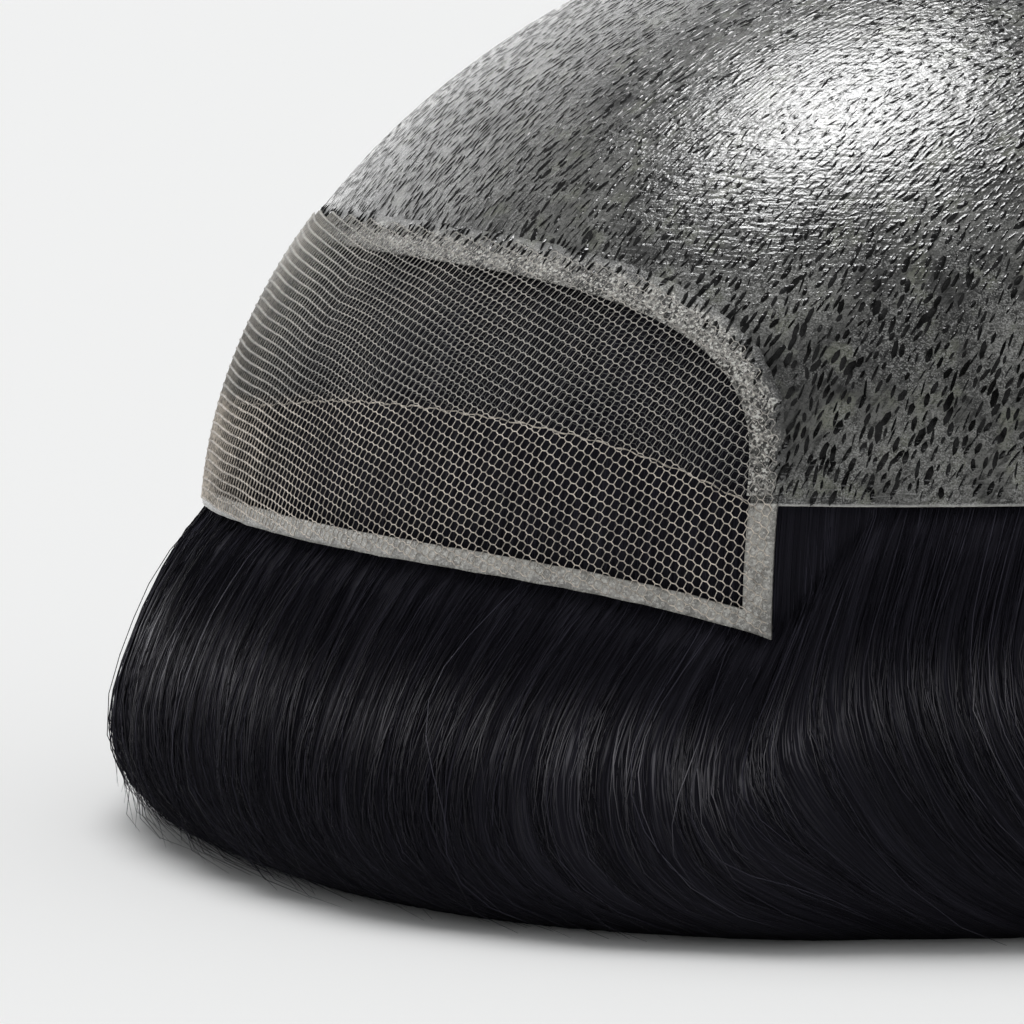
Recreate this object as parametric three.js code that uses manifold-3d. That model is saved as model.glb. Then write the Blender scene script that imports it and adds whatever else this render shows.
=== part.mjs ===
// A toupee hairpiece, stored inside out on a table: a domed base of thin clear skin with a net front,
// uppermost, and the hair that is fixed to it hanging below, rolled out past the rim and tucked under.
// Millimetres, +Z up, the table at level 0. The front of the hairpiece faces -Y. An angle runs round the
// base from the front, 0, towards +X. A level is a height above the table, and a tilt is the angle on the
// dome's own arc, from 0 at its widest level to 90 degrees at the crown.

import * as THREE from "three";
import { mergeVertices } from "three/addons/utils/BufferGeometryUtils.js";
import Module from "manifold-3d";

const wasm = await Module();
wasm.setup();

const DEGREE = Math.PI / 180;
const RIGHT_ANGLE = Math.PI / 2;

// The base
const BASE_HALF_WIDTH = 74;
const BASE_HALF_LENGTH = 101;
const FRONT_SQUARENESS = 2.36; // power of the plan's outline, 2 being an ellipse
const BACK_SQUARENESS = 2.1;
const WIDEST_LEVEL = 30.5;
const DOME_RISE = 71.5; // from the widest level to the crown
const SKIN_EDGE_LEVEL = 42;
const SKIN_WALL = 1;

// The net front
const LACE_WALL = 1;
const LACE_HALF_ANGLE = 37.5 * DEGREE;
const LACE_EDGE_LEVEL = 34.8;
const LACE_CORNER_DROP = 5.5; // how far the two front corners hang below the middle
const CORNER_DROP_POWER = 3.5;
const BORDER_WIDTH = 2;
const TAB_WIDTH = 2.6;
const NET_RISE = 21.5; // from the skin's edge to the top of the net's window
const WINDOW_ROUNDNESS = 3; // power of the window's outline
const MARGIN_WIDTH = 3; // net that is glued down on the skin
const UNDERLAY_LEVEL = 49.7; // the second layer's lower edge, in the middle
const UNDERLAY_DROP = 7.7;
const UNDERLAY_DROP_POWER = 4;
const UNDERLAY_SPAN = 0.84; // share of the window's outline that the second layer takes
const HEM_WIDTH = 1.2;

// The hair
const HAIR_LINING = 6; // thickness under the dome
const HAIR_BULGE = 10.2; // how far the roll stands out past the rim
const ROLL_TOP_LEVEL = 50; // how far the rolled hair runs up inside the base
const RIM_BLEND_ANGLE = 24 * DEGREE; // over which the roll rises from the lace's corner to the skin's edge
const SIDE_ANGLE = 128 * DEGREE; // where the side hair meets the back hair
const LOCK_COUNT = 36;
const LOCK_RELIEF = 1.8;
const LOCK_SWEEP = 14 * DEGREE; // how far round the locks lean before they turn back
const LOCK_WANDER = 0.35; // share of a lock's width by which the locks differ
const WANDER_COUNT = 7; // how often round the base they widen and narrow

const GAP = 0.3;
const LINING_GAP = 0.6; // from the base to the hair, clear of the flat faces that stand for a curve

// The roll's section. out is a share of the bulge where it is above 0, and of the lining's thickness
// below 0, from the rim inwards. up is a share of the rim's level, and past 1 a share of the way from
// the rim to the roll's top.
const ROLL_SECTION = [
  { out: 0, up: 2 },
  { out: 0, up: 1.5 },
  { out: 0, up: 1 },
  { out: 0.2, up: 0.87 },
  { out: 0.42, up: 0.73 },
  { out: 0.66, up: 0.59 },
  { out: 0.87, up: 0.45 },
  { out: 0.99, up: 0.32 },
  { out: 1, up: 0.2 },
  { out: 0.9, up: 0.09 },
  { out: 0.6, up: 0 },
  { out: -2.3, up: 0 },
  { out: -2.9, up: 0.1 },
  { out: -3, up: 0.28 },
  { out: -2.5, up: 0.55 },
  { out: -1.6, up: 0.85 },
  { out: -1, up: 1.3 },
  { out: -1, up: 2 },
];

// How far round the locks lean at each share of the rim's level, as a share of the sweep
const LOCK_LEAN = [
  { up: 1, lean: 0 },
  { up: 0.7, lean: -0.42 },
  { up: 0.45, lean: -0.6 },
  { up: 0.25, lean: -0.3 },
  { up: 0.1, lean: 0.35 },
  { up: 0, lean: 1 },
];

// How many faces each solid has
const SKIN_COLUMNS = 72;
const SKIN_ROWS = 10;
const LINING_COLUMNS = 36;
const LINING_ROWS = 7;
const WINDOW_COLUMNS = 26;
const NET_ROWS = 5;
const UNDERLAY_ROWS = 3;
const COLUMNS_PER_LOCK = 4;

// The dome

function planRadius(angle) {
  const power = Math.cos(angle) > 0 ? FRONT_SQUARENESS : BACK_SQUARENESS;
  const across = Math.abs(Math.sin(angle)) / BASE_HALF_WIDTH;
  const along = Math.abs(Math.cos(angle)) / BASE_HALF_LENGTH;
  return (across ** power + along ** power) ** (-1 / power);
}

function tiltAt(level) {
  return Math.asin(THREE.MathUtils.clamp((level - WIDEST_LEVEL) / DOME_RISE, -1, 1));
}

function round(angle, radius, level) {
  return new THREE.Vector3(radius * Math.sin(angle), -radius * Math.cos(angle), level);
}

// A point on the dome. lift is how far it stands off the outside of the skin.
function domePoint(angle, tilt, lift) {
  const radius = (planRadius(angle) + lift) * Math.cos(tilt);
  return round(angle, radius, WIDEST_LEVEL + (DOME_RISE + lift) * Math.sin(tilt));
}

// The net front's edges

const tabAngle = TAB_WIDTH / planRadius(LACE_HALF_ANGLE);
const windowHalfAngle = LACE_HALF_ANGLE - tabAngle;
const gapAngle = GAP / planRadius(LACE_HALF_ANGLE);

function laceEdgeLevel(angle) {
  const share = Math.min(Math.abs(angle) / LACE_HALF_ANGLE, 1);
  return LACE_EDGE_LEVEL - LACE_CORNER_DROP * share ** CORNER_DROP_POWER;
}

function underlayLevel(angle) {
  const share = Math.min(Math.abs(angle) / windowHalfAngle, 1);
  return UNDERLAY_LEVEL - UNDERLAY_DROP * share ** UNDERLAY_DROP_POWER;
}

// The arched edge of the net's window, grown by some millimetres. share runs from 0 to 1 along it.
function archEdge(share, grown) {
  const turn = (2 * share - 1) * RIGHT_ANGLE;
  const power = 2 / WINDOW_ROUNDNESS;
  const halfAngle = windowHalfAngle + grown / planRadius(windowHalfAngle);
  const angle = Math.sign(turn) * halfAngle * Math.abs(Math.sin(turn)) ** power;
  const level = SKIN_EDGE_LEVEL + (NET_RISE + grown) * Math.max(Math.cos(turn), 0) ** power;
  return { angle, level };
}

// A curved panel on the dome. low and high give the angle and level of its two long edges.
function panel({ low, high, columns, rows, inner, outer }) {
  const geometry = new THREE.BoxGeometry(1, 1, 1, columns, rows, 1);
  return bend(geometry, (along, across, through) => {
    const bottom = low(along);
    const top = high(along);
    const tilt = THREE.MathUtils.lerp(tiltAt(bottom.level), tiltAt(top.level), across);
    const angle = THREE.MathUtils.lerp(bottom.angle, top.angle, across);
    return domePoint(angle, tilt, THREE.MathUtils.lerp(inner, outer, through));
  });
}

// Moves each vertex of a unit box, whose places run from 0 to 1, to where place says.
function bend(geometry, place) {
  const position = geometry.getAttribute("position");
  const corner = new THREE.Vector3();
  for (let i = 0; i < position.count; i += 1) {
    corner.fromBufferAttribute(position, i).addScalar(0.5);
    position.setXYZ(i, ...place(corner.x, corner.y, corner.z).toArray());
  }
  return geometry;
}

// A shell of the dome from an edge to the crown. The lathe gives the faces, and the dome their places.
function domeShell({ edgeLevel, inner, outer, columns, rows }) {
  const edgeTilt = tiltAt(edgeLevel);
  const tilts = Array.from({ length: rows + 1 }, (_, i) =>
    THREE.MathUtils.lerp(edgeTilt, RIGHT_ANGLE, i / rows),
  );
  const section = [
    ...tilts.toReversed().map((tilt) => ({ tilt, lift: inner })),
    ...tilts.map((tilt) => ({ tilt, lift: outer })),
  ];
  const profile = section.map(({ tilt, lift }) => new THREE.Vector2(Math.cos(tilt), lift));
  const geometry = new THREE.LatheGeometry(profile, columns);
  const position = geometry.getAttribute("position");
  for (let i = 0; i < position.count; i += 1) {
    const { tilt, lift } = section[i % section.length];
    const column = Math.floor(i / section.length) % columns;
    const angle = (column / columns) * 2 * Math.PI;
    const place = domePoint(angle, tilt, lift);
    if (tilt === RIGHT_ANGLE) {
      place.setX(0);
      place.setY(0);
    }
    position.setXYZ(i, ...place.toArray());
  }
  return geometry;
}

// Cutting

function solidOf(geometry) {
  const bare = geometry.clone();
  bare.deleteAttribute("normal");
  bare.deleteAttribute("uv");
  const merged = mergeVertices(bare, 1e-3);
  return new wasm.Manifold(
    new wasm.Mesh({
      numProp: 3,
      vertProperties: merged.getAttribute("position").array,
      triVerts: new Uint32Array(merged.index.array),
    }),
  );
}

function geometryOf(solid) {
  const { vertProperties, triVerts } = solid.getMesh();
  const geometry = new THREE.BufferGeometry();
  geometry.setAttribute("position", new THREE.BufferAttribute(vertProperties, 3));
  geometry.setIndex(new THREE.BufferAttribute(triVerts, 1));
  geometry.computeVertexNormals();
  return geometry;
}

function cut(geometry, cutter) {
  return geometryOf(solidOf(geometry).subtract(solidOf(cutter)));
}

// The pieces of the base

const LACE_INNER = GAP;
const LACE_OUTER = GAP + LACE_WALL;
const CUTTER_DEPTH = 4 * SKIN_WALL;

function skinBase() {
  const dome = domeShell({
    edgeLevel: SKIN_EDGE_LEVEL,
    inner: -SKIN_WALL,
    outer: 0,
    columns: SKIN_COLUMNS,
    rows: SKIN_ROWS,
  });
  const window = panel({
    low: (along) => ({ angle: archEdge(along, GAP).angle, level: laceEdgeLevel(0) }),
    high: (along) => archEdge(along, GAP),
    columns: WINDOW_COLUMNS,
    rows: 1,
    inner: -CUTTER_DEPTH,
    outer: CUTTER_DEPTH,
  });
  return cut(dome, window);
}

function netLowEdge(along) {
  const { angle } = archEdge(along, -GAP);
  return { angle, level: laceEdgeLevel(angle) + BORDER_WIDTH + GAP };
}

function laceFront() {
  return panel({
    low: netLowEdge,
    high: (along) => archEdge(along, -GAP),
    columns: WINDOW_COLUMNS,
    rows: NET_ROWS,
    inner: LACE_INNER,
    outer: LACE_OUTER,
  });
}

function laceMargin() {
  return panel({
    low: (along) => liftedEnds(archEdge(along, 0)),
    high: (along) => liftedEnds(archEdge(along, MARGIN_WIDTH)),
    columns: WINDOW_COLUMNS,
    rows: 1,
    inner: LACE_INNER,
    outer: LACE_OUTER,
  });
}

function liftedEnds({ angle, level }) {
  return { angle, level: Math.max(level, SKIN_EDGE_LEVEL + GAP) };
}

function laceBorder() {
  const spread = (along) => (2 * along - 1) * LACE_HALF_ANGLE;
  const whole = panel({
    low: (along) => ({ angle: spread(along), level: laceEdgeLevel(spread(along)) }),
    high: (along) => ({ angle: spread(along), level: SKIN_EDGE_LEVEL }),
    columns: WINDOW_COLUMNS,
    rows: 2,
    inner: LACE_INNER,
    outer: LACE_OUTER,
  });
  const netSpread = (along) => (2 * along - 1) * windowHalfAngle;
  const window = panel({
    low: (along) => {
      const angle = netSpread(along);
      return { angle, level: laceEdgeLevel(angle) + BORDER_WIDTH };
    },
    high: (along) => ({ angle: netSpread(along), level: SKIN_EDGE_LEVEL + NET_RISE }),
    columns: WINDOW_COLUMNS,
    rows: 2,
    inner: -CUTTER_DEPTH,
    outer: CUTTER_DEPTH,
  });
  return cut(whole, window);
}

function underlayAlong(along) {
  return 0.5 + (along - 0.5) * UNDERLAY_SPAN;
}

function laceUnderlay() {
  return panel({
    low: (along) => {
      const { angle } = archEdge(underlayAlong(along), 0);
      return { angle, level: underlayLevel(angle) };
    },
    high: (along) => archEdge(underlayAlong(along), 0),
    columns: WINDOW_COLUMNS,
    rows: UNDERLAY_ROWS,
    inner: -LACE_WALL,
    outer: 0,
  });
}

function underlayHem() {
  const at = (below) => (along) => {
    const { angle } = archEdge(underlayAlong(along), 0);
    return { angle, level: underlayLevel(angle) - GAP - below };
  };
  return panel({
    low: at(HEM_WIDTH),
    high: at(0),
    columns: WINDOW_COLUMNS,
    rows: 1,
    inner: -LACE_WALL,
    outer: 0,
  });
}

// The hair

const HAIR_LIFT = -(SKIN_WALL + LINING_GAP); // the hair's outer side, just inside the skin

// The level at which the roll leaves the base: the lace's edge in front, the skin's edge elsewhere
function rimLevel(angle) {
  const turned = Math.abs(Math.atan2(Math.sin(angle), Math.cos(angle)));
  if (turned <= LACE_HALF_ANGLE) return laceEdgeLevel(turned);
  const share = Math.min((turned - LACE_HALF_ANGLE) / RIM_BLEND_ANGLE, 1);
  return THREE.MathUtils.lerp(
    laceEdgeLevel(LACE_HALF_ANGLE),
    SKIN_EDGE_LEVEL,
    THREE.MathUtils.smoothstep(share, 0, 1),
  );
}

function leanAt(up) {
  const next = LOCK_LEAN.findIndex((row) => row.up <= up);
  if (next <= 0) return LOCK_LEAN[0].lean;
  const [above, below] = [LOCK_LEAN[next - 1], LOCK_LEAN[next]];
  return THREE.MathUtils.mapLinear(up, above.up, below.up, above.lean, below.lean);
}

// How far a lock stands out at a place on the roll: rounded ridges with narrow valleys between them
function lockRelief(angle, out, up) {
  if (out <= 0 || up >= 1) return 0;
  const swept = angle - Math.sin(angle) * LOCK_SWEEP * leanAt(up);
  const wander = LOCK_WANDER * Math.sin(swept * WANDER_COUNT);
  const ridge = Math.abs(Math.cos((swept * LOCK_COUNT) / 2 + wander * Math.PI));
  const fade = Math.min(out * 2, 1);
  return LOCK_RELIEF * fade * (Math.sqrt(ridge) - 1);
}

// How far from the middle the roll leaves the base
function rimRadius(angle) {
  return (planRadius(angle) + HAIR_LIFT) * Math.cos(tiltAt(rimLevel(angle)));
}

function hairPoint(angle, out, up) {
  const rim = rimLevel(angle);
  if (up >= 1) {
    const level = THREE.MathUtils.lerp(rim, ROLL_TOP_LEVEL, up - 1);
    return domePoint(angle, tiltAt(level), HAIR_LIFT + out * HAIR_LINING);
  }
  const reach = out > 0 ? HAIR_BULGE - HAIR_LIFT : HAIR_LINING;
  const radius = rimRadius(angle) + out * reach + lockRelief(angle, out, up);
  return round(angle, radius, up * rim);
}

// A stretch of the roll between two angles. The section is extruded along the angle and then placed.
function hairRoll(from, to) {
  const shape = new THREE.Shape(ROLL_SECTION.map(({ out, up }) => new THREE.Vector2(out, up)));
  const locks = ((to - from) / (2 * Math.PI)) * LOCK_COUNT;
  const steps = Math.ceil(locks * COLUMNS_PER_LOCK);
  const geometry = new THREE.ExtrudeGeometry(shape, { steps, depth: 1, bevelEnabled: false });
  const position = geometry.getAttribute("position");
  for (let i = 0; i < position.count; i += 1) {
    const along = position.getZ(i);
    const angle = THREE.MathUtils.lerp(to - gapAngle / 2, from + gapAngle / 2, along);
    const place = hairPoint(angle, position.getX(i), position.getY(i));
    position.setXYZ(i, ...place.toArray());
  }
  return geometry;
}

// The hair under the crown lines the dome above the roll.
function hairCrown() {
  return domeShell({
    edgeLevel: ROLL_TOP_LEVEL + GAP,
    inner: HAIR_LIFT - HAIR_LINING,
    outer: HAIR_LIFT,
    columns: LINING_COLUMNS,
    rows: LINING_ROWS,
  });
}

// The assembly

const materials = {
  skin: new THREE.MeshStandardMaterial({ color: 0x77776f, roughness: 0.25, metalness: 0 }),
  net: new THREE.MeshStandardMaterial({ color: 0x9c968c, roughness: 0.55, metalness: 0 }),
  coating: new THREE.MeshStandardMaterial({ color: 0xb0ada2, roughness: 0.35, metalness: 0 }),
  hair: new THREE.MeshStandardMaterial({ color: 0x131316, roughness: 0.45, metalness: 0 }),
};

const pieces = [
  { name: "skin_base", geometry: skinBase(), material: materials.skin },
  { name: "lace_front", geometry: laceFront(), material: materials.net },
  { name: "lace_underlay", geometry: laceUnderlay(), material: materials.net },
  { name: "underlay_hem", geometry: underlayHem(), material: materials.net },
  { name: "lace_margin", geometry: laceMargin(), material: materials.coating },
  { name: "lace_border", geometry: laceBorder(), material: materials.coating },
  { name: "hair_crown", geometry: hairCrown(), material: materials.hair },
  {
    name: "hair_front",
    geometry: hairRoll(-LACE_HALF_ANGLE, LACE_HALF_ANGLE),
    material: materials.hair,
  },
  {
    name: "hair_right",
    geometry: hairRoll(LACE_HALF_ANGLE, SIDE_ANGLE),
    material: materials.hair,
  },
  {
    name: "hair_back",
    geometry: hairRoll(SIDE_ANGLE, 2 * Math.PI - SIDE_ANGLE),
    material: materials.hair,
  },
  {
    name: "hair_left",
    geometry: hairRoll(2 * Math.PI - SIDE_ANGLE, 2 * Math.PI - LACE_HALF_ANGLE),
    material: materials.hair,
  },
];

// The origin lies midway between the roll's front and its back.
const toupee = new THREE.Group();
toupee.position.y = (rimRadius(0) - rimRadius(Math.PI)) / 2;
for (const { name, geometry, material } of pieces) {
  const mesh = new THREE.Mesh(geometry, material);
  mesh.name = name;
  toupee.add(mesh);
}

export default toupee;
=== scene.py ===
"""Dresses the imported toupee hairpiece, which is stored inside out and stands on its own hair."""
import math

import bpy
import numpy as np
from bpy.props import FloatProperty, FloatVectorProperty, IntProperty, PointerProperty
from mathutils import Matrix, Vector, noise


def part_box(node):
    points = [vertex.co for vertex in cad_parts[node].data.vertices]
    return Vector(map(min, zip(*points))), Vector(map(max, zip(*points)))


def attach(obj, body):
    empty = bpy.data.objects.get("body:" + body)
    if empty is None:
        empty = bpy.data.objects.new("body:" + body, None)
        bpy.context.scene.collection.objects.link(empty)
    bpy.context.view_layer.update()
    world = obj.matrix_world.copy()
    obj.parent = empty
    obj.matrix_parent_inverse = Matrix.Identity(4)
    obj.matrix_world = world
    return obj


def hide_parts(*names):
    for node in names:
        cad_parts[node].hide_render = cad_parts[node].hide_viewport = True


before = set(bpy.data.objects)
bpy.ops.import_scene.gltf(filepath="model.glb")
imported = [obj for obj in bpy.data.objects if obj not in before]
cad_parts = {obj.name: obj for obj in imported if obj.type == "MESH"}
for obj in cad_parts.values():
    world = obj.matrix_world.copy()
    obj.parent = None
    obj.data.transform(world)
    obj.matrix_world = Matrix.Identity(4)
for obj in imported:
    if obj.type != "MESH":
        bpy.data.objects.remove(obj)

bl_info = {
    "name": "Toupee hairpiece",
    "version": (1, 0, 0),
    "blender": (4, 5, 0),
    "location": "View3D > Sidebar > Toupee",
    "description": "Builds a toupee's skin, net front and hair round its packed model",
    "category": "Object",
}

MM = 0.001
DEGREE = math.pi / 180

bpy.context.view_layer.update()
HAIR_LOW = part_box("hair_crown")[0]
HAIR_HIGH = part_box("hair_crown")[1]
SKIN_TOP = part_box("skin_base")[1].z
BASE_SHIFT = (HAIR_LOW.y + HAIR_HIGH.y) / 2
WIDEST_LEVEL = 30.5 * MM

# The hair's rolled outline: out past the rim in bulges, up in shares of the rim's height.
ROLL_OUTSIDE = [(0, 2), (0, 1.5), (0.04, 1), (0.22, 0.93), (0.4, 0.82), (0.58, 0.7), (0.74, 0.57),
                (0.87, 0.45), (0.93, 0.34), (0.92, 0.25), (0.8, 0.15), (0.52, 0.06), (0.14, 0)]
ROLL_INSIDE = [(0.14, 0), (-0.9, 0), (-2.3, 0), (-2.9, 0.1), (-3, 0.28), (-2.5, 0.55), (-1.6, 0.85),
               (-1, 1.3), (-1, 2)]
# How far the locks lean round the base, by height in shares of the rim's.
LOCK_LEAN = [(0, 1), (0.1, 0.35), (0.25, -0.3), (0.45, -0.6), (0.7, -0.42), (1, 0)]

# How far the combing carries a strand round the base, in mm, at five heights of the roll.
COMB_HEIGHTS = (0.0, 0.13, 0.32, 0.62, 1.0)
COMB_ANGLES = (-180, -155, -130, -90, -70, -50, -30, 0, 15, 25, 33, 45, 60, 80, 100, 130, 155, 180)
COMB_OFFSETS = (
    (0, -8, -18, -22, -12, 2, 10, 11, 8, 5, 11, 19, 22, 22, 22, 16, 8, 0),
    (0, -5, -10, -13, -8, 0, 5, 5, 2, -1, 4, 10, 13, 13, 13, 8, 4, 0),
    (0, -1, -3, -4, -3, -1, 1, 1, -1, -4, -1, 3, 4, 4, 4, 2, 1, 0),
    (0, 1, 1, 1, 0, -1, -2, -2, -2, -4, -3, -2, -2, -2, -2, -1, 0, 0),
    (0, 0, 0, 0, 0, 0, 0, 0, 0, 0, 0, 0, 0, 0, 0, 0, 0, 0),
)
STRAND_POINTS = 12

# The band of painted sheen round the roll, which also raises the strands' gloss: its middle level in mm and
# its strength, by angle from the front.
SHEEN_ANGLES = (0, 20, 30, 37, 43, 60, 180)
SHEEN_LEVELS = (21, 21, 19, 16, 23, 25, 22)
SHEEN_STEPS = (0, 22, 28, 36, 44, 60, 180)
SHEEN_STRENGTHS = (1, 0.75, 0.7, 0.65, 0.42, 0.45, 0.8)

# Lifts above the dome's surface.
SKIN_LIFT = 0.2 * MM
NET_LIFT = 0.6 * MM
UNDERLAY_LIFT = -0.3 * MM
HEM_LIFT = 0.05 * MM
EDGE_LIFTS = (0.22 * MM, 0.58 * MM)
HAIR_LIFT = -0.95 * MM
LINING_LIFT = -7.6 * MM

# Tones that don't change with the finishes.
BLACK_STREAK = (0.004, 0.004, 0.004, 1)
# Painted sparkle: bright specks standing in for glints off the skin's fine relief.
SKIN_PAINTED_SPARKLE = (0.34, 0.34, 0.33, 1)
GRAIN_DARK = (0.014, 0.014, 0.014, 1)
# Painted glints: pale near-horizontal lines on the skin.
PAINTED_GLINT_LINE = (0.22, 0.22, 0.22, 1)
CUT_EDGE = (0.42, 0.41, 0.39, 1)
ROOT_BLACK = (0.003, 0.003, 0.003, 1)
ROOT_GREY = (0.020, 0.020, 0.020, 1)
# Painted shade: the grey that the net's thread is mixed towards over the second layer.
THREAD_IN_SHADE = (0.22, 0.23, 0.23, 1)
# Painted sparkle: bright spots on the coating that stand in for glints.
COATING_PAINTED_SPARKLE = (0.78, 0.77, 0.73, 1)
# Painted sheen: glint tones for the hair bed and the strands in the band where the roll turns over.
BED_PAINTED_GLINT = (0.190, 0.186, 0.205, 1)
STRAND_PAINTED_GLINT = (0.40, 0.39, 0.42, 1)


class BaseSizes(bpy.types.PropertyGroup):
    half_width: FloatProperty(
        name="Half width", description="Half the base's width at its widest level", default=74 * MM,
        unit="LENGTH")
    half_length: FloatProperty(
        name="Half length", description="Half the base's length at its widest level", default=101 * MM,
        unit="LENGTH")
    front_squareness: FloatProperty(
        name="Front squareness", description="2 is an ellipse, more is squarer", default=2.36)
    back_squareness: FloatProperty(
        name="Back squareness", description="2 is an ellipse, more is squarer", default=2.1)
    rise: FloatProperty(
        name="Rise", description="Height of the dome above its widest level",
        default=SKIN_TOP - WIDEST_LEVEL, unit="LENGTH")
    skin_edge: FloatProperty(
        name="Skin edge", description="Level of the skin's cut edge", default=42 * MM, unit="LENGTH")
    film_wall: FloatProperty(
        name="Film wall", description="Thickness of the skin", default=0.4 * MM, unit="LENGTH")
    root_length: FloatProperty(
        name="Root length", description="Usual length of a hair root that shows", default=1.35 * MM,
        unit="LENGTH")
    root_width: FloatProperty(
        name="Root width", description="Usual width of a hair root that shows", default=0.34 * MM,
        unit="LENGTH")


class NetSizes(bpy.types.PropertyGroup):
    half_angle: FloatProperty(
        name="Half angle", description="Reach of the net to each side of the front", default=37.5 * DEGREE,
        subtype="ANGLE")
    edge_level: FloatProperty(
        name="Edge level", description="Level of the net's edge in the middle", default=34.8 * MM,
        unit="LENGTH")
    corner_drop: FloatProperty(
        name="Corner drop", description="How much lower the net's corners are", default=5.5 * MM,
        unit="LENGTH")
    border_width: FloatProperty(
        name="Border width", description="Width of the coated edge", default=2 * MM, unit="LENGTH")
    tab_width: FloatProperty(
        name="Tab width", description="Width of the coated ends", default=2.6 * MM, unit="LENGTH")
    arch_rise: FloatProperty(
        name="Arch rise", description="Height of the window above the skin's edge", default=21.5 * MM,
        unit="LENGTH")
    margin_width: FloatProperty(
        name="Margin width", description="Width of the glued band round the arch", default=3 * MM,
        unit="LENGTH")
    cell_pitch: FloatProperty(
        name="Cell pitch", description="From cell to cell along a row", default=0.87 * MM, unit="LENGTH")
    row_drop: FloatProperty(
        name="Row drop", description="From row to row, straight down", default=1.0 * MM, unit="LENGTH")
    thread: FloatProperty(
        name="Thread", description="Half the thickness of a thread", default=0.075 * MM, unit="LENGTH")


class HairSizes(bpy.types.PropertyGroup):
    lining: FloatProperty(
        name="Lining", description="Thickness of the hair under the dome", default=6 * MM, unit="LENGTH")
    bulge: FloatProperty(
        name="Bulge", description="How far the roll stands out past the rim", default=11.6 * MM,
        unit="LENGTH")
    lock_relief: FloatProperty(
        name="Lock relief", description="Depth between two locks", default=1.2 * MM, unit="LENGTH")
    strands: IntProperty(
        name="Strands", description="Single strands combed over the roll", default=5200, min=0)
    strand: FloatProperty(
        name="Strand", description="Half the thickness of a strand", default=0.055 * MM, unit="LENGTH")
    seed: IntProperty(name="Seed", description="Start of the random draws", default=7)


class Finishes(bpy.types.PropertyGroup):
    skin_pale: FloatVectorProperty(
        name="Skin pale", description="The clear skin where little hair is behind it", subtype="COLOR",
        size=4, min=0, max=1, default=(0.150, 0.150, 0.142, 1))
    skin_dark: FloatVectorProperty(
        name="Skin dark", description="The clear skin over dense hair", subtype="COLOR",
        size=4, min=0, max=1, default=(0.060, 0.060, 0.059, 1))
    thread: FloatVectorProperty(
        name="Thread", description="The net's thread", subtype="COLOR", size=4, min=0, max=1,
        default=(0.78, 0.70, 0.61, 1))
    coating: FloatVectorProperty(
        name="Coating", description="The milky coating of the net's edge", subtype="COLOR",
        size=4, min=0, max=1, default=(0.36, 0.35, 0.325, 1))
    hair: FloatVectorProperty(
        name="Hair", description="The hair", subtype="COLOR", size=4, min=0, max=1,
        default=(0.0120, 0.0116, 0.0158, 1))
    floor: FloatVectorProperty(
        name="Floor", description="The pale floor", subtype="COLOR", size=4, min=0, max=1,
        default=(0.873, 0.873, 0.873, 1))


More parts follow.
